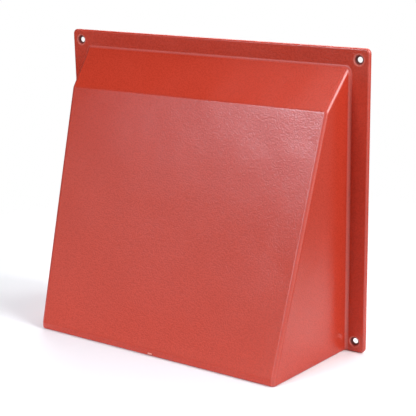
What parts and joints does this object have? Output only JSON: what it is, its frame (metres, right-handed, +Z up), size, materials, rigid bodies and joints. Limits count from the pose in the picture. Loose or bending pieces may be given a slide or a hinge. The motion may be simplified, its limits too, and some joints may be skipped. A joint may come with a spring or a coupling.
{
  "type": "external vent cowl",
  "caption": "One-piece moulded wall vent cowl: a sloping hood with drafted sides and a drip lip on a flat flange with countersunk screw holes, open at the back and at the foot.",
  "frame": {"origin": "middle of the screw pattern, on the flat back of the flange that lies against the wall", "axes": "+Z up the wall, +Y into the wall, +X across the wall; the hood stands out towards -Y"},
  "size_m": [0.27, 0.0899, 0.2284],
  "materials": {
    "terracotta_plastic": "terracotta-red thermoplastic, moulded with a fine even grain and a satin sheen"
  },
  "bodies": {
    "root": {"cowl": "terracotta_plastic"}
  },
  "joints": []
}
